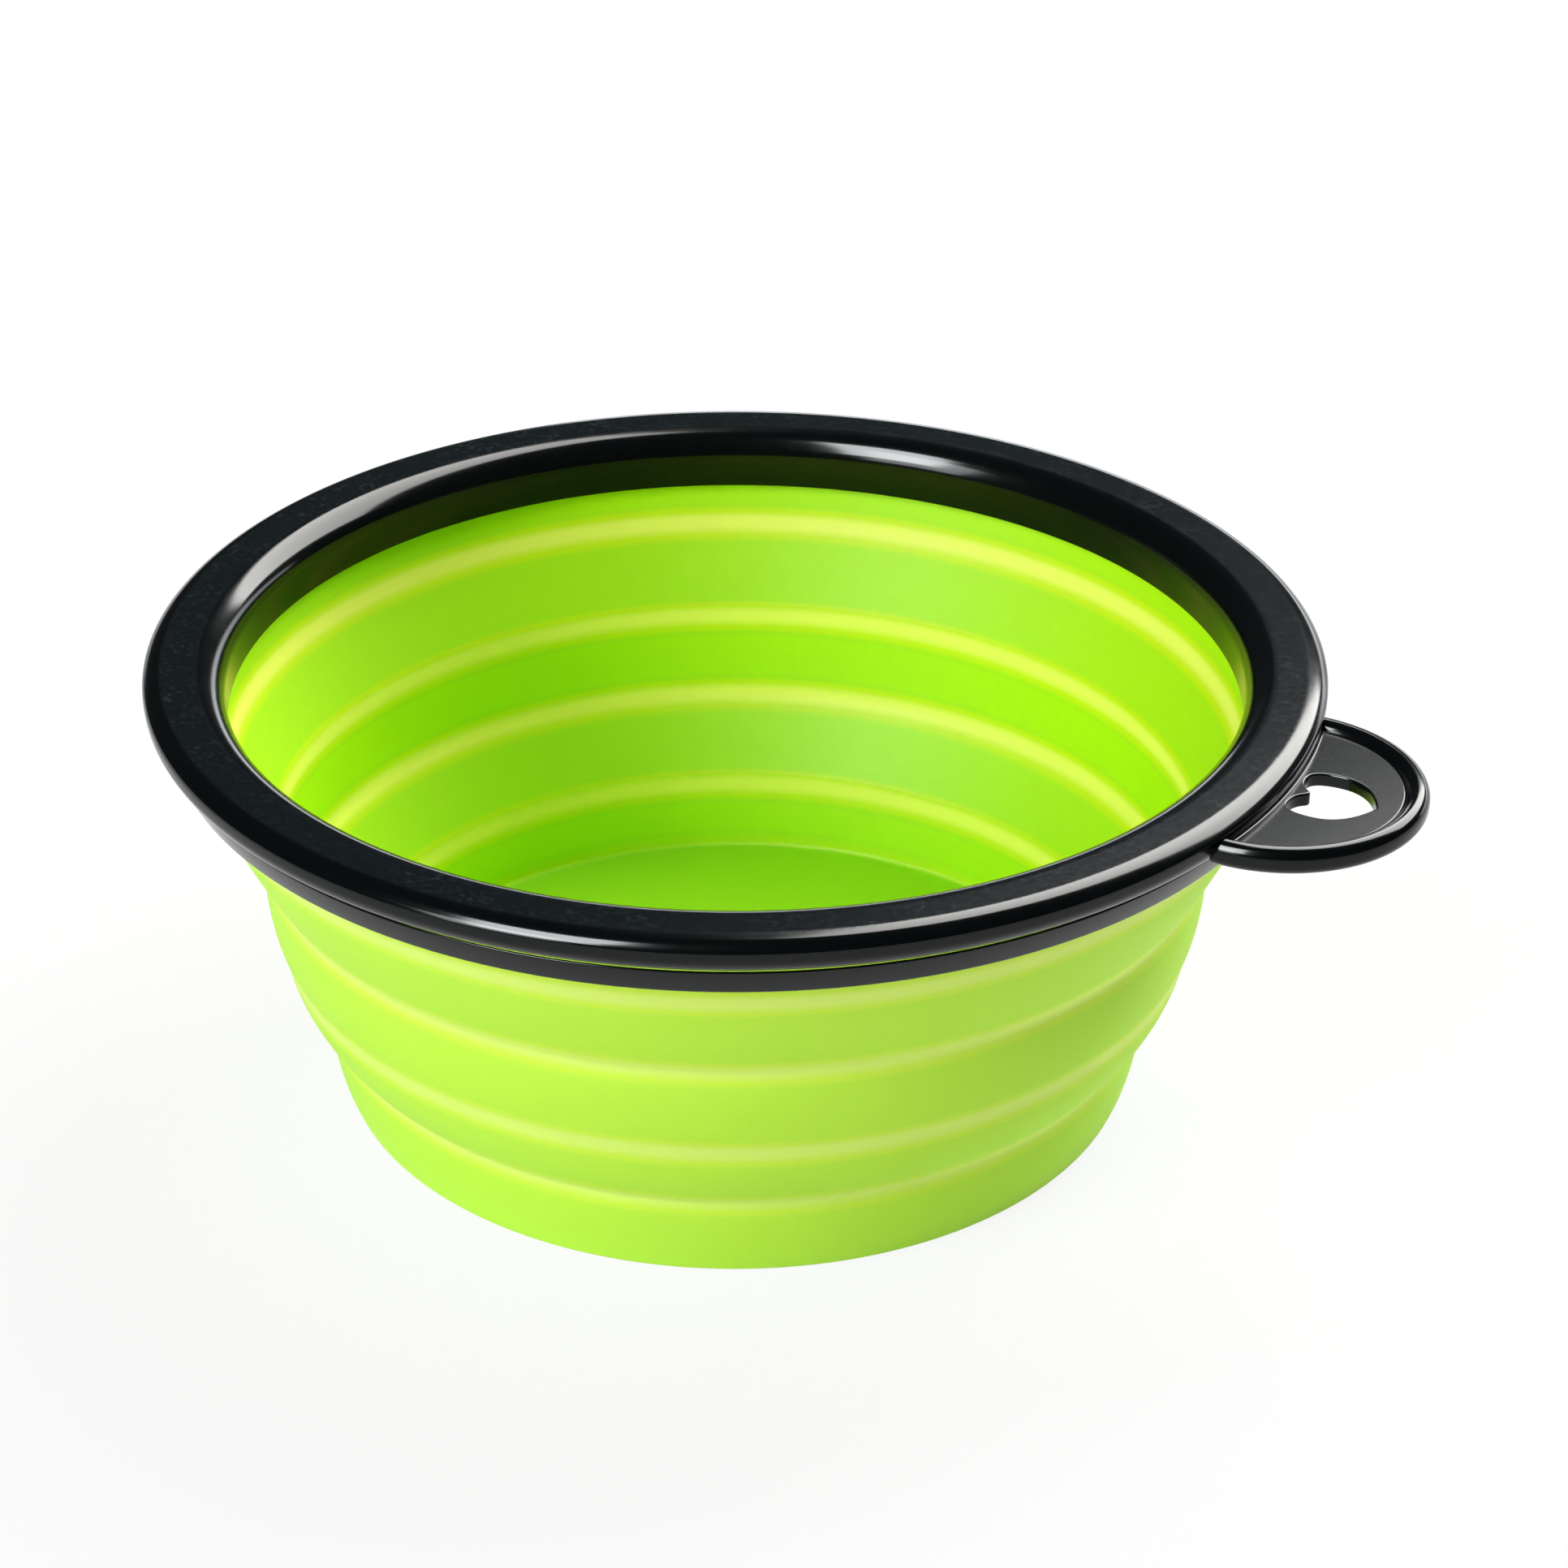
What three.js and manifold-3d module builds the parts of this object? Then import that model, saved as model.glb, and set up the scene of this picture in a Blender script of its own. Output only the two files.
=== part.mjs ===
// A folding silicone bowl for a pet, clamped in a two-part plastic rim with a hanging tab.
// Millimetres, +Z up. The origin is the centre of the base's underside, and the tab points along +X.

import * as THREE from 'three';
import { mergeVertices } from 'three/addons/utils/BufferGeometryUtils.js';
import Module from 'manifold-3d';

const wasm = await Module();
wasm.setup();

// Heights of the zones, stacked from the table up
const floorThickness = 1.8;
const baseBandHeight = 8.2;
const lowerFoldHeight = 9.5;
const middleBandHeight = 10.5;
const upperFoldHeight = 11.6;
const shoulderHeight = 3.8;
const clampHeight = 2.95;
const flangeThickness = 0.6;
const capHeight = 3.75;

// Upper ring: bead, flat top, mouth and inner skirt
const rimRadius = 65;
const rimWidth = 8.9;
const beadRound = 1.8;
const mouthRound = 3.45;
const beadOverhang = 1.6;
const capWall = 2.3;
const skirtWall = 1.3;
const skirtTaper = 1.1;
const skirtRise = 0.4;

// Clamp ring, and the pins that hold it to the upper ring
const clampWall = 1.7;
const clampDrawIn = 1.2;
const pinCount = 8;
const pinRadius = 0.6;
const pinRise = 1.7;
const pinRoot = 1;

// Clearance between moulded pieces
const fit = 0.3;

// Silicone wall: how far each zone draws in on the way down, how thick it is and how far it swells
const shoulderDrawIn = 1.4;
const shoulderWall = 2.3;
const upperFoldDrawIn = 5.9;
const middleBandDrawIn = 1.3;
const lowerFoldDrawIn = 4.8;
const baseBandDrawIn = 1.4;
const foldWall = 1.5;
const floorDrawIn = 0.5;
const baseRound = 0.6;
const upperFoldSwell = 0.33;
const middleBandSwell = 0.66;
const lowerFoldSwell = 0.8;
const baseBandSwell = 0.5;
const insideSwell = 0.3;

// Hanging tab: a round dish on the bead, with a raised border and a heart-shaped hole
const tabRadius = 16;
const tabSetIn = 1.6;
const tabDrop = 1.4;
const ribHeight = 2.9;
const ribWidth = 2.9;
const ribRound = 1.2;
const ribSlopeWidth = 1.2;
const ribSlopeHeight = 0.6;
const tabFloorDrop = 0.9;
const tabFloorThickness = 1.5;
const heartLength = 8.65;
const heartWidth = 9.4;
const heartNotch = 1.4;
const heartNubRound = 0.3;
const heartNubLength = 0.35;
const heartNubHalf = 0.55;
const heartLobeStart = 1.3;
const heartLobeLength = 3.25;
const heartLobeOffset = 2.9;
const heartPoint = 1.8;
const heartSetOut = 0.75;

// Facets
const ringSegments = 48;
const tabSegments = 40;
const pinSegments = 10;
const roundSteps = 3;
const swellSteps = 4;
const heartSteps = 6;

// Levels that the sizes give
const lowerFoldBottom = floorThickness + baseBandHeight;
const middleBandBottom = lowerFoldBottom + lowerFoldHeight;
const upperFoldBottom = middleBandBottom + middleBandHeight;
const shoulderBottom = upperFoldBottom + upperFoldHeight;
const clampBottom = shoulderBottom + shoulderHeight;
const flangeBottom = clampBottom + clampHeight;
const seam = flangeBottom + flangeThickness;
const rimTop = seam + capHeight;
const skirtBottom = clampBottom + skirtRise;
const lipSpaceTop = rimTop - capWall;

// Radii that the sizes give
const seamRadius = rimRadius - beadOverhang;
const mouthRadius = rimRadius - rimWidth;
const clampRadius = seamRadius - clampDrawIn;
const clampBore = clampRadius - clampWall;
const lipRadius = clampBore - fit;
const pinCircle = (clampBore + seamRadius) / 2;

const silicone = new THREE.MeshStandardMaterial({ color: 0xa6e22e, roughness: 0.45, metalness: 0 });
const rimPlastic = new THREE.MeshStandardMaterial({ color: 0x14181a, roughness: 0.25, metalness: 0 });

const at = (radius, height) => new THREE.Vector2(radius, height);

// A quarter round of the rim or tab, from one angle to another in degrees
function rounded(centre, radiusAcross, radiusUp, fromAngle, toAngle) {
  const start = THREE.MathUtils.degToRad(fromAngle);
  const end = THREE.MathUtils.degToRad(toAngle);
  const curve = new THREE.EllipseCurve(centre.x, centre.y, radiusAcross, radiusUp, start, end);
  return curve.getPoints(roundSteps);
}

// A wall face from one point to another that swells to the right of its way
function swollen(from, to, swell) {
  const right = at(to.y - from.y, from.x - to.x).normalize();
  const control = from.clone().lerp(to, 0.5).addScaledVector(right, 2 * swell);
  return new THREE.QuadraticBezierCurve(from, control, to).getPoints(swellSteps);
}

// A solid of revolution about +Z from a profile of radius and height that closes on itself
function ring(profile) {
  return new THREE.LatheGeometry([...profile, profile[0]], ringSegments).rotateX(Math.PI / 2);
}

// A closed solid for joining and cutting
function solidOf(geometry) {
  const bare = geometry.clone();
  bare.deleteAttribute('normal');
  bare.deleteAttribute('uv');
  const welded = mergeVertices(bare);
  const corners = welded.index.array;
  const triangles = [];
  for (let i = 0; i < corners.length; i += 3) {
    const [a, b, c] = corners.slice(i, i + 3);
    if (a !== b && b !== c && c !== a) triangles.push(a, b, c);
  }
  return new wasm.Manifold(new wasm.Mesh({
    numProp: 3,
    vertProperties: welded.attributes.position.array,
    triVerts: new Uint32Array(triangles),
  }));
}

function geometryOf(solid) {
  const mesh = solid.getMesh();
  const geometry = new THREE.BufferGeometry();
  geometry.setAttribute('position', new THREE.BufferAttribute(mesh.vertProperties, mesh.numProp));
  geometry.setIndex(new THREE.BufferAttribute(mesh.triVerts, 1));
  return geometry;
}

// The pins of the clamp ring, or the room for them, between two heights
function pinSolids(radius, bottom, top) {
  return Array.from({ length: pinCount }, (_, i) => {
    const angle = ((i + 0.5) * 2 * Math.PI) / pinCount;
    const pin = new THREE.CylinderGeometry(radius, radius, top - bottom, pinSegments).rotateX(Math.PI / 2);
    pin.translate(pinCircle * Math.cos(angle), pinCircle * Math.sin(angle), (top + bottom) / 2);
    return solidOf(pin);
  });
}

// Outside radius of the inner skirt, which grows thinner on the way down
function skirtOutside(height) {
  const lean = skirtTaper / (lipSpaceTop - skirtBottom);
  return mouthRadius + skirtWall + lean * (height - skirtBottom);
}

// Upper ring: bead outside, flat top, rounded mouth and inner skirt, with blind holes for the pins
function topRim() {
  const beadMiddle = rimTop - beadRound;
  const profile = [
    ...rounded(at(seamRadius, beadMiddle), beadOverhang, beadMiddle - seam, -90, 0),
    ...rounded(at(rimRadius - beadRound, beadMiddle), beadRound, beadRound, 0, 90).slice(1),
    ...rounded(at(mouthRadius + mouthRound, rimTop - mouthRound), mouthRound, mouthRound, 90, 180),
    at(mouthRadius, skirtBottom),
    at(skirtOutside(skirtBottom), skirtBottom),
    at(skirtOutside(lipSpaceTop), lipSpaceTop),
    at(clampBore, lipSpaceTop),
    at(clampBore, seam),
  ];
  const sockets = pinSolids(pinRadius + fit, seam - pinRoot, seam + pinRise + fit);
  return geometryOf(sockets.reduce((rim, socket) => rim.subtract(socket), solidOf(ring(profile))));
}

// Clamp ring: the band under the seam, with pins that pass through the flange
function clampRing() {
  const band = ring([
    at(clampRadius, clampBottom),
    at(seamRadius, flangeBottom),
    at(clampBore, flangeBottom),
    at(clampBore, clampBottom),
  ]);
  const pins = pinSolids(pinRadius, flangeBottom - pinRoot, seam + pinRise);
  return geometryOf(pins.reduce((clamp, pin) => clamp.add(pin), solidOf(band)));
}

// Lip of the bowl: a wall between skirt and clamp ring, and a flange whose edge is the seam line
function siliconeLip() {
  const lipTop = lipSpaceTop - fit;
  const lip = ring([
    at(lipRadius, clampBottom),
    at(lipRadius, flangeBottom),
    at(seamRadius, flangeBottom),
    at(seamRadius, seam),
    at(lipRadius, seam),
    at(lipRadius, lipTop),
    at(skirtOutside(lipTop) + fit, lipTop),
    at(skirtOutside(clampBottom) + fit, clampBottom),
  ]);
  const holes = pinSolids(pinRadius + fit, flangeBottom - pinRoot, seam + pinRoot);
  return geometryOf(holes.reduce((rest, hole) => rest.subtract(hole), solidOf(lip)));
}

// Where the wall is cut into zones: its outside, its inside and its height
const cut = (outside, inside, height) => ({ outside: at(outside, height), inside: at(inside, height) });
const shoulderRadius = lipRadius - shoulderDrawIn;
const upperFoldRadius = shoulderRadius - upperFoldDrawIn;
const middleBandRadius = upperFoldRadius - middleBandDrawIn;
const lowerFoldRadius = middleBandRadius - lowerFoldDrawIn;
const baseRadius = lowerFoldRadius - baseBandDrawIn;
const underClamp = cut(lipRadius, skirtOutside(clampBottom) + fit, clampBottom);
const underShoulder = cut(shoulderRadius, shoulderRadius - shoulderWall, shoulderBottom);
const underUpperFold = cut(upperFoldRadius, upperFoldRadius - foldWall, upperFoldBottom);
const underMiddleBand = cut(middleBandRadius, middleBandRadius - foldWall, middleBandBottom);
const underLowerFold = cut(lowerFoldRadius, lowerFoldRadius - foldWall, lowerFoldBottom);
const onFloor = cut(baseRadius, baseRadius - foldWall, floorThickness);

// One zone of the wall between two cuts, thickest half way
function wallZone(below, above, outsideSwell, innerSwell) {
  return ring([
    ...swollen(below.outside, above.outside, outsideSwell),
    ...swollen(above.inside, below.inside, innerSwell),
  ]);
}

// The short stiff shoulder has straight faces
function shoulder() {
  return ring([underShoulder.outside, underClamp.outside, underClamp.inside, underShoulder.inside]);
}

// The floor closes the bowl and carries the base band on its edge
function bowlFloor() {
  const footRadius = baseRadius - floorDrawIn;
  const profile = [
    at(0, 0),
    ...rounded(at(footRadius - baseRound, baseRound), baseRound, baseRound, -90, 0),
    onFloor.outside,
    at(0, floorThickness),
  ];
  return new THREE.LatheGeometry(profile, ringSegments).rotateX(Math.PI / 2);
}

// Heart outline, from the rounded notch to the tip and back, with the notch towards the bead
function heartShape() {
  const lobes = rimRadius + heartSetOut;
  const notch = lobes + heartNotch;
  const widest = lobes + heartLobeLength;
  const tip = lobes + heartLength;
  const flank = tip - heartPoint;
  const half = heartWidth / 2;
  const nubEnd = notch - heartNubLength;
  const shape = new THREE.Shape();
  shape.moveTo(notch, 0);
  shape.quadraticCurveTo(notch, -heartNubRound, nubEnd, -heartNubHalf);
  shape.quadraticCurveTo(lobes, -heartLobeStart, lobes, -heartLobeOffset);
  shape.quadraticCurveTo(lobes, -half, widest, -half);
  shape.quadraticCurveTo(flank, -half, tip, 0);
  shape.quadraticCurveTo(flank, half, widest, half);
  shape.quadraticCurveTo(lobes, half, lobes, heartLobeOffset);
  shape.quadraticCurveTo(lobes, heartLobeStart, nubEnd, heartNubHalf);
  shape.quadraticCurveTo(notch, heartNubRound, notch, 0);
  return shape;
}

// Hanging tab: a dish with a raised border, cut to the bead, with the heart-shaped hole through its floor
function hangTab() {
  const ribTop = rimTop - tabDrop;
  const ribBottom = ribTop - ribHeight;
  const tabFloor = ribTop - tabFloorDrop;
  const ribInside = tabRadius - ribWidth;
  const ribCrown = tabRadius - ribRound;
  const dishProfile = [
    at(0, tabFloor - tabFloorThickness),
    at(ribInside, tabFloor - tabFloorThickness),
    at(ribInside, ribBottom),
    ...rounded(at(ribCrown, ribBottom + ribRound), ribRound, ribRound, -90, 0),
    ...rounded(at(ribCrown, ribTop - ribRound), ribRound, ribRound, 0, 90),
    at(ribInside + ribSlopeWidth, ribTop),
    at(ribInside, ribTop - ribSlopeHeight),
    at(ribInside, tabFloor),
    at(0, tabFloor),
  ];
  const dish = new THREE.LatheGeometry(dishProfile, tabSegments).rotateX(Math.PI / 2);
  dish.translate(rimRadius - tabSetIn, 0, 0);
  const beadSpace = new THREE.CylinderGeometry(rimRadius + fit, rimRadius + fit, rimTop, ringSegments);
  beadSpace.rotateX(Math.PI / 2).translate(0, 0, rimTop);
  const heart = new THREE.ExtrudeGeometry(heartShape(), {
    depth: ribHeight, bevelEnabled: false, curveSegments: heartSteps,
  });
  heart.translate(0, 0, ribBottom);
  return geometryOf(solidOf(dish).subtract(solidOf(beadSpace)).subtract(solidOf(heart)));
}

const bowl = new THREE.Group();

function addPart(name, geometry, material) {
  const mesh = new THREE.Mesh(geometry, material);
  mesh.name = name;
  bowl.add(mesh);
}

addPart('top_rim', topRim(), rimPlastic);
addPart('hang_tab', hangTab(), rimPlastic);
addPart('clamp_ring', clampRing(), rimPlastic);
addPart('silicone_lip', siliconeLip(), silicone);
addPart('shoulder', shoulder(), silicone);
addPart('upper_fold', wallZone(underUpperFold, underShoulder, upperFoldSwell, insideSwell), silicone);
addPart('middle_band', wallZone(underMiddleBand, underUpperFold, middleBandSwell, insideSwell), silicone);
addPart('lower_fold', wallZone(underLowerFold, underMiddleBand, lowerFoldSwell, insideSwell), silicone);
addPart('base_band', wallZone(onFloor, underLowerFold, baseBandSwell, insideSwell), silicone);
addPart('bowl_floor', bowlFloor(), silicone);

export default bowl;
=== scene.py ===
import math

import bmesh
import bpy
import numpy
from mathutils import Matrix, Vector


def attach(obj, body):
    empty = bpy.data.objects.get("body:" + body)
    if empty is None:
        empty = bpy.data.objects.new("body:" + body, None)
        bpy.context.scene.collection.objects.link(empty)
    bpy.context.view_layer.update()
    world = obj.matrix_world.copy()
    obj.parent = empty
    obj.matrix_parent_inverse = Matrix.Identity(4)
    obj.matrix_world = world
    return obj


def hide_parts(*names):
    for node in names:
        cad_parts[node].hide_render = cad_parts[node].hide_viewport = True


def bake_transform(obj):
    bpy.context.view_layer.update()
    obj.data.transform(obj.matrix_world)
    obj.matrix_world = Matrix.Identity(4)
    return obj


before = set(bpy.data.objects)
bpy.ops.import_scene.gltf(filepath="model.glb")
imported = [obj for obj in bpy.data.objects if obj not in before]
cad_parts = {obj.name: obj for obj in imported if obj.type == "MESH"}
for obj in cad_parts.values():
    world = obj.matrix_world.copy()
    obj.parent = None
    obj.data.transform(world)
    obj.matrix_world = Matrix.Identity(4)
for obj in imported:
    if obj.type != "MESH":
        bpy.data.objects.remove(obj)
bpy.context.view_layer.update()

# Silicone bowl: one lime-green silicone moulding, thick in its bands and thin at its folds. The paler
# lines along the folds are painted light, a colour set by height that stands for light coming through
# the thin wall. It is made here in two parts that meet half way up the middle band, because the
# wall folds flat in two places, one above and one below that band.
mm = 0.001
turns_round = 200
parting = 24.75
outside_folds = ((42.2, 1), (30.5, 1), (19.5, 1), (10.3, 1))
inside_folds = ((40.9, 1), (30.2, 1), (20.2, 1), (10.1, 1), (2.5, 0.35))
inside_webs = ((30.2, 40.9), (10.1, 20.2))
floor_edge = 2.0
underside_edge = 0.5
# Painted light on the silicone: levels and reaches of the paler colour that stands for light through the thin
# folds.
band_glow = 0.1
web_glow = 0.2
half_glow = 0.5
glow_above = 1.6
glow_below = 1.9
longest_step = 1.2
bowl_section = (
    (0, 0, 0),
    (44.9, 0, 0.5),
    (46.9, 4.9, 4.2),
    (46.8, 10, 0.5),
    (50.6, 14.0, 4.2),
    (51.6, 19.5, 0.9),
    (53.5, 24.6, 4.2),
    (52.9, 30, 0.6),
    (56.4, 35.5, 4.8),
    (59.0, 42.2, 0.7),
    (60.2, 45.4, 0),
    (60.2, 48.45, 0),
    (63.2, 48.45, 0.1),
    (63.2, 48.85, 0.1),
    (60.2, 48.85, 0),
    (60.2, 50.1, 0.3),
    (58.7, 50.1, 0.3),
    (57.6, 45.4, 0),
    (56.3, 40.9, 0.7),
    (53.9, 35.6, 4.4),
    (51.95, 31.3, 0.9),
    (51.8, 30.0, 0.5),
    (51.3, 24.8, 4.2),
    (50.45, 20.1, 0.7),
    (47.5, 15.1, 4.2),
    (45.35, 11.2, 0.9),
    (45.2, 10, 0.5),
    (44.3, 5.8, 3.4),
    (44.0, 1.8, 0.9),
    (0, 1.8, 0),
)
wall_middle_heights = (0, 10, 19.5, 30, 41.6, 45.4)
wall_middle_radii = (44.4, 46.0, 51.0, 52.35, 57.6, 58.9)
large_rounding = 1
large_steps = 14
small_steps = 7
weld_distance = 0.001


def section(corners, closed):
    """A wire section in the XZ plane from corners of radius, height and rounding in millimetres."""
    bm = bmesh.new()
    verts = [bm.verts.new((radius * mm, 0, height * mm)) for radius, height, _ in corners]
    for first, second in zip(verts, verts[1:]):
        bm.edges.new((first, second))
    if closed:
        bm.edges.new((verts[-1], verts[0]))
    for size in sorted({corner[2] for corner in corners if corner[2]}, reverse=True):
        bmesh.ops.bevel(
            bm, geom=[v for v, corner in zip(verts, corners) if corner[2] == size],
            offset=size * mm, offset_type="ABSOLUTE", affect="VERTICES",
            segments=large_steps if size > large_rounding else small_steps, profile=0.5, material=-1)
    return bm


def spun(bm, turns, sweep=360, centre=(0, 0, 0)):
    """The section swept round an upright axis, with its seam and poles closed."""
    bmesh.ops.spin(
        bm, geom=bm.verts[:] + bm.edges[:], cent=centre, axis=(0, 0, 1),
        angle=math.radians(sweep), steps=turns, use_merge=sweep == 360)
    bmesh.ops.remove_doubles(bm, verts=bm.verts[:], dist=weld_distance * mm)
    bmesh.ops.recalc_face_normals(bm, faces=bm.faces[:])
    return bm


def made(name, bm, finish, sharp_angle=40):
    """A smooth piece of the object from its mesh."""
    mesh = bpy.data.meshes.new(name)
    bm.to_mesh(mesh)
    bm.free()
    mesh.shade_smooth()
    mesh.set_sharp_from_angle(angle=math.radians(sharp_angle))
    mesh.materials.append(finish)
    piece = bpy.data.objects.new(name, mesh)
    bpy.context.collection.objects.link(piece)
    return piece


def new_finish(name):
    """A material, its shader, and makers of nodes and links."""
    finish = bpy.data.materials.new(name)
    finish.use_nodes = True
    tree = finish.node_tree

    def node(kind, values=(), links=(), **settings):
        new = tree.nodes.new(kind)
        for key, value in settings.items():
            setattr(new, key, value)
        for socket, value in dict(values).items():
            new.inputs[socket].default_value = value
        for source, socket in links:
            tree.links.new(source, new.inputs[socket])
        return new

    return finish, tree.nodes["Principled BSDF"], node, tree.links.new


lime, shader, node, link = new_finish("lime_silicone")
shader.inputs["Specular IOR Level"].default_value = 0.16
place = node("ShaderNodeTexCoord")
# The fold attribute carries painted light: the wall's colour turns paler along its folds.
glow = node("ShaderNodeAttribute", attribute_name="painted_fold_glow")
cloud = node("ShaderNodeTexNoise", {"Scale": 45, "Detail": 3}, [(place.outputs["Object"], "Vector")])
drift = node("ShaderNodeMapRange", {"To Min": -0.03, "To Max": 0.03}, [(cloud.outputs["Fac"], "Value")])
share = node(
    "ShaderNodeMath", links=[(glow.outputs["Fac"], 0), (drift.outputs["Result"], 1)],
    operation="ADD", use_clamp=True)
side = node("ShaderNodeAttribute", attribute_name="outer_side")


def wall_tint_and_painted_light(floor, band, web, half_lit, fold):
    """The silicone's colour with its painted light and shade, from its deep floor to the pale line of a fold.
    """
    tint = node("ShaderNodeValToRGB", links=[(share.outputs["Value"], "Fac")])
    tint.color_ramp.interpolation = "EASE"
    tint.color_ramp.elements[0].color = (*floor, 1)
    tint.color_ramp.elements[1].color = (*fold, 1)
    tint.color_ramp.elements.new(band_glow).color = (*band, 1)
    tint.color_ramp.elements.new(web_glow).color = (*web, 1)
    tint.color_ramp.elements.new(half_glow).color = (*half_lit, 1)
    return tint.outputs["Color"]


# Painted light and shade: one silicone, tinted paler and bluer outside as a painted sheen, and a deeper green
# inside as painted shade, deepest on the bowl's floor, with paler fold colours as painted glow on both sides.
outer_green_and_painted_sheen = (0.555, 0.93, 0.065)
inner_tint_and_painted_light = wall_tint_and_painted_light(
    floor=(0.38, 0.83, 0.001), band=(0.49, 0.88, 0.001), web=(0.47, 0.85, 0.005),
    half_lit=(0.66, 0.87, 0.004), fold=(0.95, 0.98, 0.15))
outer_tint_and_painted_light = wall_tint_and_painted_light(
    floor=outer_green_and_painted_sheen, band=outer_green_and_painted_sheen, web=outer_green_and_painted_sheen,
    half_lit=(0.66, 0.95, 0.07), fold=(0.76, 0.99, 0.185))
tint = node(
    "ShaderNodeMix", links=[(side.outputs["Fac"], 0), (inner_tint_and_painted_light, 6), (outer_tint_and_painted_light, 7)], data_type="RGBA")
link(tint.outputs[2], shader.inputs["Base Color"])
grain = node("ShaderNodeTexNoise", {"Scale": 1800, "Detail": 2}, [(place.outputs["Object"], "Vector")])
satin = node("ShaderNodeMapRange", {"To Min": 0.46, "To Max": 0.62}, [(grain.outputs["Fac"], "Value")])
link(satin.outputs["Result"], shader.inputs["Roughness"])
skin = node("ShaderNodeBump", {"Strength": 0.05, "Distance": 0.0001}, [(grain.outputs["Fac"], "Height")])
link(skin.outputs["Normal"], shader.inputs["Normal"])


def painted_fold_glow(height, folds, webs):
    """How much painted light a zone of the wall gets over the floor, from 0 to 1, palest on the line of a
    fold.
    """
    if height < floor_edge:
        return 0.0
    shares = [web_glow if any(low < height < high for low, high in webs) else band_glow]
    for fold, strength in folds:
        reach = glow_above if height > fold else glow_below
        shares.append(strength * math.exp(-((height - fold) / reach) ** 2))
    return max(shares)


def bowl_part(name, upper):
    """The bowl above or below its parting, closed where it is parted."""
    bm = section(bowl_section, closed=False)
    long_edges = [e for e in bm.edges if e.calc_length() > longest_step * mm]
    bmesh.ops.subdivide_edges(bm, edges=long_edges, cuts=4)
    # Each vertex gets its share of painted fold light and the side of the wall it is on.
    glow_layer = bm.verts.layers.float.new("painted_fold_glow")
    side_layer = bm.verts.layers.float.new("outer_side")
    for v in bm.verts:
        radius = v.co.x / mm
        height = v.co.z / mm
        wall_middle = numpy.interp(height, wall_middle_heights, wall_middle_radii)
        outside = radius > wall_middle or height < underside_edge
        folds = outside_folds if outside else inside_folds
        webs = () if outside else inside_webs
        v[glow_layer] = painted_fold_glow(height, folds, webs)
        v[side_layer] = float(outside)
    spun(bm, turns_round)
    cut = bmesh.ops.bisect_plane(
        bm, geom=bm.verts[:] + bm.edges[:] + bm.faces[:], plane_co=(0, 0, parting * mm),
        plane_no=(0, 0, 1), clear_inner=upper, clear_outer=not upper)
    edges = [part for part in cut["geom_cut"] if isinstance(part, bmesh.types.BMEdge)]
    bmesh.ops.bridge_loops(bm, edges=edges)
    bmesh.ops.recalc_face_normals(bm, faces=bm.faces[:])
    return made(name, bm, lime)


lower_bowl = bowl_part("silicone_bowl_lower", upper=False)
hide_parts("middle_band", "lower_fold", "base_band", "bowl_floor")
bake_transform(lower_bowl)

upper_bowl = bowl_part("silicone_bowl_upper", upper=True)
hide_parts("silicone_lip", "shoulder", "upper_fold")
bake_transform(upper_bowl)

# Clamp ring: a plain black hard-plastic ring under the bead, moulded glossy. It is pressed up against
# the bowl's flange, and the flange's edge shows as a thin green line along its top.
clamp_section = (
    (62.2, 45.4, 0.35),
    (63.4, 48.45, 0.25),
    (60.5, 48.45, 0),
    (60.5, 45.4, 0.3),
)
rim_top = 52.7
flat_fade_start = 0.07
flat_fade_end = 0.02
flat_shade = 0.3
rim_dust = (0.024, 0.032, 0.034)


def black_plastic(name, flat_height, frost_low, frost_high, stipple_depth, dust_tone):
    """Black hard plastic, glossy on its rounded edges and finely textured on the flat at one height."""
    finish, shader, node, link = new_finish(name)
    shader.inputs["Specular IOR Level"].default_value = 0.25
    place = node("ShaderNodeTexCoord").outputs["Object"]
    height = node("ShaderNodeSeparateXYZ", links=[(place, "Vector")]).outputs["Z"]

    def spread(source, values):
        return node("ShaderNodeMapRange", values, [(source, "Value")]).outputs["Result"]

    def product(first, second):
        return node("ShaderNodeMath", links=[(first, 0), (second, 1)], operation="MULTIPLY").outputs["Value"]

    fade_start = (flat_height - flat_fade_start) * mm
    fade_end = (flat_height - flat_fade_end) * mm
    flat = spread(height, {"From Min": fade_start, "From Max": fade_end})
    cloud = node("ShaderNodeTexNoise", {"Scale": 260, "Detail": 3}, [(place, "Vector")]).outputs["Fac"]
    grain = node("ShaderNodeTexNoise", {"Scale": 1400, "Detail": 3}, [(place, "Vector")]).outputs["Fac"]
    cluster = spread(cloud, {"From Min": 0.34, "From Max": 0.74})
    speck = spread(grain, {"From Min": 0.5, "From Max": 0.72})
    bloom = spread(product(cluster, speck), {"To Min": flat_shade})
    black = node("ShaderNodeValToRGB", links=[(product(bloom, flat), "Fac")])
    black.color_ramp.elements[0].color = (0.002, 0.003, 0.0033, 1)
    black.color_ramp.elements[1].color = (*dust_tone, 1)
    black.color_ramp.elements.new(flat_shade).color = (0.0055, 0.0085, 0.0105, 1)
    link(black.outputs["Color"], shader.inputs["Base Color"])
    gloss = spread(cloud, {"To Min": 0.1, "To Max": 0.17})
    frost = spread(grain, {"To Min": frost_low, "To Max": frost_high})
    rough = node("ShaderNodeMix", links=[(flat, 0), (gloss, 2), (frost, 3)])
    link(rough.outputs[0], shader.inputs["Roughness"])
    stipple = node(
        "ShaderNodeBump", {"Strength": stipple_depth, "Distance": 0.00005}, [(product(grain, flat), "Height")])
    link(stipple.outputs["Normal"], shader.inputs["Normal"])
    return finish


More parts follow.
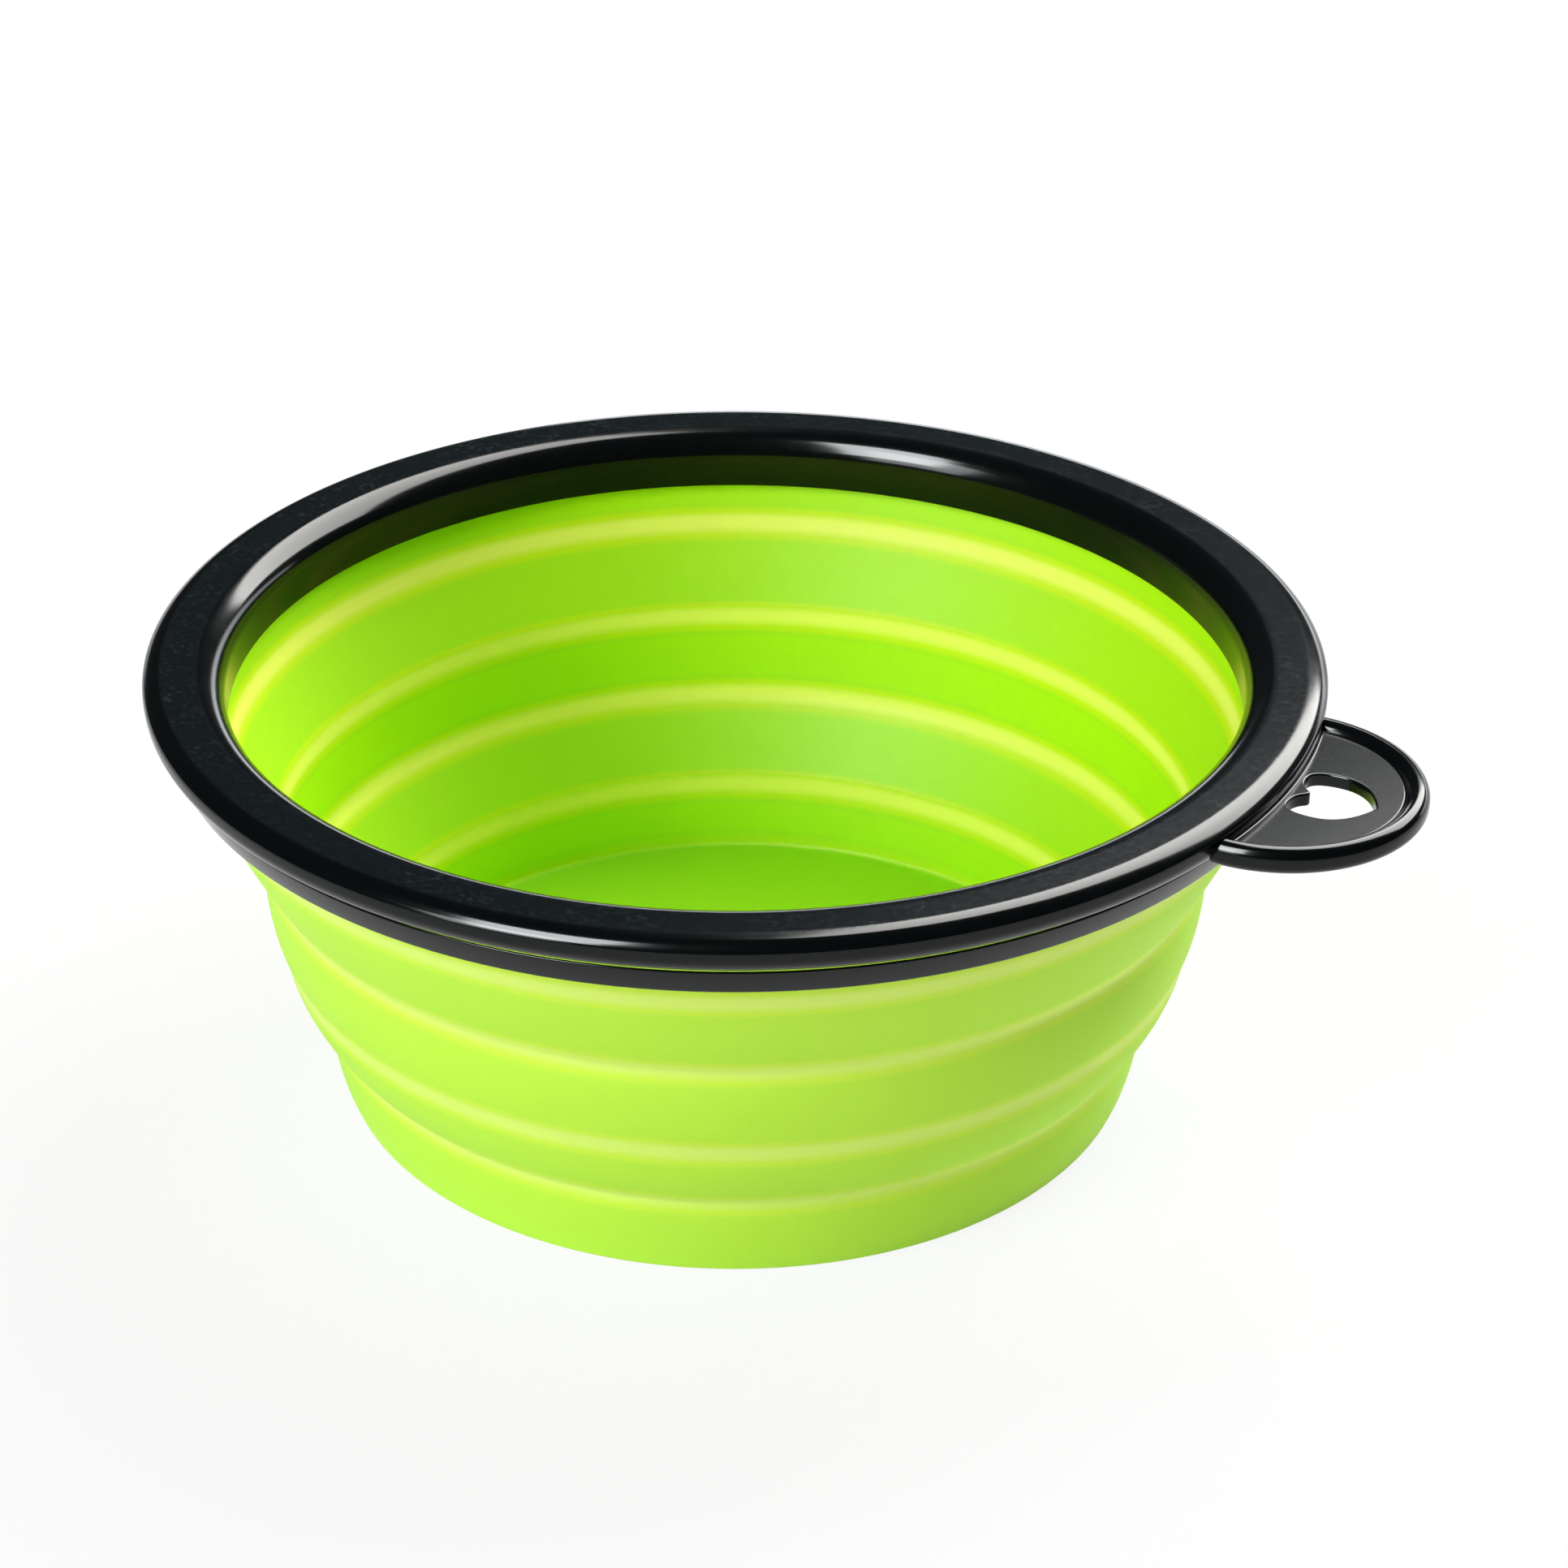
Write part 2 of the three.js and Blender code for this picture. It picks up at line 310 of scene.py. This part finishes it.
rim_black = black_plastic("rim_plastic", rim_top, 0.12, 0.18, 0.12, rim_dust)
clamp_ring = made("rim_clamp_ring", spun(section(clamp_section, closed=True), turns_round), rim_black)
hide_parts("clamp_ring")
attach(clamp_ring, "rim")

# Upper ring: the black hard-plastic rim that is seen from above, with a rounded bead outside, a finely
# textured matte top, a glossy rounded mouth and a skirt that hangs down inside the bowl's lip.
ring_section = (
    (63.2, 48.85, 0),
    (63.5, 48.85, 0.15),
    (64.5, 49.4, 0.5),
    (65, 50.4, 0.35),
    (65, 51.64, 0.35),
    (64.18, 52.37, 0.42),
    (63.2, rim_top, 0.58),
    (62.5, rim_top, 0),
    (59.65, rim_top, 0),
    (56.1, rim_top, 3.45),
    (56.1, 45.8, 0.3),
    (57.4, 45.8, 0.3),
    (58.5, 50.4, 0),
    (60.5, 50.4, 0),
    (60.5, 48.85, 0),
)
upper_ring = made("rim_upper_ring", spun(section(ring_section, closed=True), turns_round), rim_black)
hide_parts("top_rim")
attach(upper_ring, "rim")

# Hanging tab: moulded in one with the upper ring, of the same black plastic. A rounded border runs round a
# lower plate with a heart-shaped hole, and a small fillet joins the plate to the bead.
tab_middle = 63.4
border_top = 51.3
plate_top = 50.4
plate_bottom = 48.9
border_reach = 94
border_turns = 96
border_sink = 0.04
border_section = (
    (13.1, 48.4, 0.4),
    (16, 48.4, 1.2),
    (16, border_top, 1.25),
    (14.5, border_top, 0.45),
    (13.75, 50.8, 0.3),
    (13.5, plate_top - border_sink, 0.28),
    (13.1, plate_top - border_sink, 0),
)


def swept_arc(bm, half_sweep, turns, centre):
    """The section swept to both sides of the XZ plane about an upright axis, with its two ends closed."""
    start = Matrix.Rotation(math.radians(-half_sweep), 3, "Z")
    bmesh.ops.rotate(bm, verts=bm.verts[:], cent=centre, matrix=start)
    spun(bm, turns, 2 * half_sweep, centre)
    bmesh.ops.holes_fill(bm, edges=[e for e in bm.edges if e.is_boundary])
    bmesh.ops.recalc_face_normals(bm, faces=bm.faces[:])
    return bm


shifted = tuple((radius + tab_middle, height, rounding) for radius, height, rounding in border_section)
border = swept_arc(section(shifted, closed=True), border_reach, border_turns, (tab_middle * mm, 0, 0))
tab_border = made("tab_border", border, rim_black)
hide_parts("hang_tab")
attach(tab_border, "rim")

plate_radius = 13.5
plate_sweep = 88
plate_steps = 64
plate_seat = 64.0
seat_steps = 20
plate_round = 0.22
flat_margin = 0.06
plate_dust = (0.007, 0.0105, 0.013)
heart_back = 65.75
heart_notch = 67.15
heart_widest = 69.0
heart_tip = 74.4
heart_flank = 72.6
heart_half = 4.7
lobe_start = 1.3
lobe_crown = 2.9
nub_tip = 0.3
nub_end = (66.8, 0.55)


def loop(bm, points):
    """A closed wire loop through points in millimetres."""
    verts = [bm.verts.new((x * mm, y * mm, plate_bottom * mm)) for x, y in points]
    return [bm.edges.new(pair) for pair in zip(verts, verts[1:] + verts[:1])]


def curve(start, control, end, steps=10):
    """Points of a bent line from start up to, but not at, its end."""
    shares = [i / steps for i in range(steps)]
    return [
        tuple((1 - t) ** 2 * a + 2 * t * (1 - t) * b + t * t * c for a, b, c in zip(start, control, end))
        for t in shares]


def turned(radius, middle, half_angle, steps):
    """Points of an arc about a middle on the X axis, from minus to plus half its angle in degrees."""
    angles = [math.radians(half_angle * (2 * i / steps - 1)) for i in range(steps + 1)]
    return [(middle + radius * math.cos(a), radius * math.sin(a)) for a in angles]


bead_half_angle = math.degrees(math.asin(plate_radius / plate_seat))
outer_edge = turned(plate_radius, tab_middle, plate_sweep, plate_steps)
bead_edge = turned(plate_seat, 0, -bead_half_angle, seat_steps)
half_heart = (
    curve((heart_notch, 0), (heart_notch, nub_tip), nub_end, 4)
    + curve(nub_end, (heart_back, lobe_start), (heart_back, lobe_crown))
    + curve((heart_back, lobe_crown), (heart_back, heart_half), (heart_widest, heart_half))
    + curve((heart_widest, heart_half), (heart_flank, heart_half), (heart_tip, 0)))
other_half = [(x, -y) for x, y in reversed(half_heart[1:])]
plate = bmesh.new()
edges = loop(plate, outer_edge + bead_edge) + loop(plate, half_heart + [(heart_tip, 0)] + other_half)
bmesh.ops.triangle_fill(plate, use_beauty=True, edges=edges)
raised = bmesh.ops.extrude_face_region(plate, geom=plate.faces[:])
bmesh.ops.translate(
    plate, verts=[v for v in raised["geom"] if isinstance(v, bmesh.types.BMVert)],
    vec=(0, 0, (plate_top - plate_bottom) * mm))
bmesh.ops.recalc_face_normals(plate, faces=plate.faces[:])
rims = [e for e in plate.edges if e.calc_face_angle(0) > 1]
rims = [e for e in rims if abs(e.verts[0].co.z - e.verts[1].co.z) < 0.01 * mm]
bmesh.ops.bevel(
    plate, geom=rims, offset=plate_round * mm, affect="EDGES", segments=4, profile=0.5, material=-1)
for side_up in (1, -1):
    flat = [f for f in plate.faces if f.normal.z * side_up > 0.999]
    bmesh.ops.inset_region(plate, faces=flat, thickness=flat_margin * mm, use_even_offset=True)
plate_black = black_plastic("tab_plate_plastic", plate_top, 0.15, 0.18, 0.03, plate_dust)
tab_plate = made("tab_plate", plate, plate_black)
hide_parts("hang_tab")
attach(tab_plate, "rim")

fillet_half = 11.7
fillet_turns = 24
fillet_section = (
    (64.6, plate_top - 0.3, 0),
    (65.5, plate_top - 0.03, 0),
    (64.98, plate_top, 0.35),
    (64.98, plate_top + 0.5, 0),
)
fillet = swept_arc(section(fillet_section, closed=True), fillet_half, fillet_turns, (0, 0, 0))
tab_fillet = made("tab_fillet", fillet, rim_black)
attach(tab_fillet, "rim")

# Studio: a plain white floor and a camera at the height and angle of the photograph. A soft box stands behind
# on the right and a tall strip light in front on the left. Three cards show only as reflections, and a weak
# fill on the right lights the walls without one.
camera_turn = math.radians(26.4)
camera_rise = math.radians(28.73)
camera_roll = math.radians(0.32)
camera_distance = 0.4563
aim_right = 0.00537
aim_height = 0.0347
focal_length = 93.17
floor_half = 12
floor_drop = 0.05
floor_white = 0.88

floor_mesh = bmesh.new()
bmesh.ops.create_grid(floor_mesh, x_segments=1, y_segments=1, size=floor_half)
bmesh.ops.translate(floor_mesh, verts=floor_mesh.verts[:], vec=(0, 0, -floor_drop * mm))
white, shader, node, link = new_finish("white_floor")
shader.inputs["Base Color"].default_value = (0.9, 0.9, 0.9, 1)
shader.inputs["Roughness"].default_value = 0.8
shader.inputs["Specular IOR Level"].default_value = 0.1
ray = node("ShaderNodeLightPath")
seen = node(
    "ShaderNodeMath", links=[(ray.outputs["Is Camera Ray"], 0), (ray.outputs["Is Glossy Ray"], 1)],
    operation="ADD")
shown = node(
    "ShaderNodeMath", links=[(seen.outputs["Value"], 0), (ray.outputs["Is Transmission Ray"], 1)],
    operation="ADD")
share = node("ShaderNodeMath", {1: floor_white}, [(shown.outputs["Value"], 0)], operation="MULTIPLY")
paper = node("ShaderNodeEmission", {"Color": (1, 1, 1, 1), "Strength": 1})
sweep = node(
    "ShaderNodeMixShader",
    links=[(share.outputs["Value"], 0), (shader.outputs["BSDF"], 1), (paper.outputs["Emission"], 2)])
link(sweep.outputs["Shader"], white.node_tree.nodes["Material Output"].inputs["Surface"])
floor = made("floor", floor_mesh, white)

world = bpy.data.worlds.new("studio")
bpy.context.scene.world = world
world.use_nodes = True
world.node_tree.nodes["Background"].inputs["Color"].default_value = (0.9, 0.95, 1, 1)
world.node_tree.nodes["Background"].inputs["Strength"].default_value = 0.04
warm_white = (1, 0.99, 0.96)
cool_white = (0.96, 0.98, 1)
back_white = (0.94, 0.98, 1)
fill_white = (0.96, 1, 1)


def soft_box(name, place, facing, roll, width, height, radiance, colour, lights_walls=True, mirrored=True):
    """A soft box at a place to the camera's right, back and up from the bowl, turned to face down at it."""
    azimuth, elevation = (math.radians(angle) for angle in facing)
    away = Vector((
        math.cos(azimuth) * math.cos(elevation), math.sin(azimuth) * math.cos(elevation), math.sin(elevation)))
    across = Vector((0, 0, 1)).cross(away).normalized()
    axes = Matrix((across, away.cross(across), away)).transposed()
    studio = Matrix.Rotation(camera_turn, 3, "Z")
    light = bpy.data.lights.new(name, "AREA")
    light.shape = "RECTANGLE"
    light.size = width
    light.size_y = height
    light.energy = radiance * math.pi * width * height
    light.color = colour
    lamp = bpy.data.objects.new(name, light)
    lamp.visible_diffuse = lights_walls
    lamp.visible_glossy = mirrored
    lamp.visible_camera = False
    lamp.location = studio @ Vector(place)
    lamp.rotation_euler = (studio @ axes @ Matrix.Rotation(math.radians(roll), 3, "Z")).to_euler()
    bpy.context.collection.objects.link(lamp)


soft_box(
    "soft_box_right", (0.253, 0.390, 0.463), (9.3, 48.4), roll=-14,
    width=0.50, height=0.55, radiance=7.2, colour=warm_white)
soft_box(
    "card_right", (0.246, 0.389, 0.456), (9.3, 48.4), roll=-14,
    width=0.50, height=0.55, radiance=6.0, colour=warm_white, lights_walls=False)
soft_box(
    "card_back", (0.6, 1.15, 0.155), (62, 5), roll=0,
    width=1.7, height=0.17, radiance=3.3, colour=back_white, lights_walls=False)
soft_box(
    "fill_right", (0.95, -0.2, 0.13), (-12, 5), roll=0,
    width=0.6, height=0.5, radiance=1.1, colour=fill_white, mirrored=False)
soft_box(
    "strip_left", (-0.9, -0.894, 0.7), (-125, 32.7), roll=9.6,
    width=0.58, height=1.0, radiance=9.4, colour=cool_white)
soft_box(
    "card_left", (-0.712, -0.804, 1.05), (-125, 44), roll=9.6,
    width=0.56, height=1.1, radiance=28, colour=cool_white, lights_walls=False)

back = Vector((
    math.sin(camera_turn) * math.cos(camera_rise),
    -math.cos(camera_turn) * math.cos(camera_rise),
    math.sin(camera_rise)))
right = Vector((math.cos(camera_turn), math.sin(camera_turn), 0))
lens = bpy.data.cameras.new("camera")
lens.lens = focal_length
lens.sensor_width = 36
lens.clip_start = 0.01
lens.clip_end = 100
camera = bpy.data.objects.new("camera", lens)
camera.location = right * aim_right + Vector((0, 0, aim_height)) + back * camera_distance
upright = back.to_track_quat("Z", "Y").to_matrix()
camera.rotation_euler = (upright @ Matrix.Rotation(camera_roll, 3, "Z")).to_euler()
bpy.context.collection.objects.link(camera)
bpy.context.scene.camera = camera
bpy.context.scene.view_settings.view_transform = "Standard"
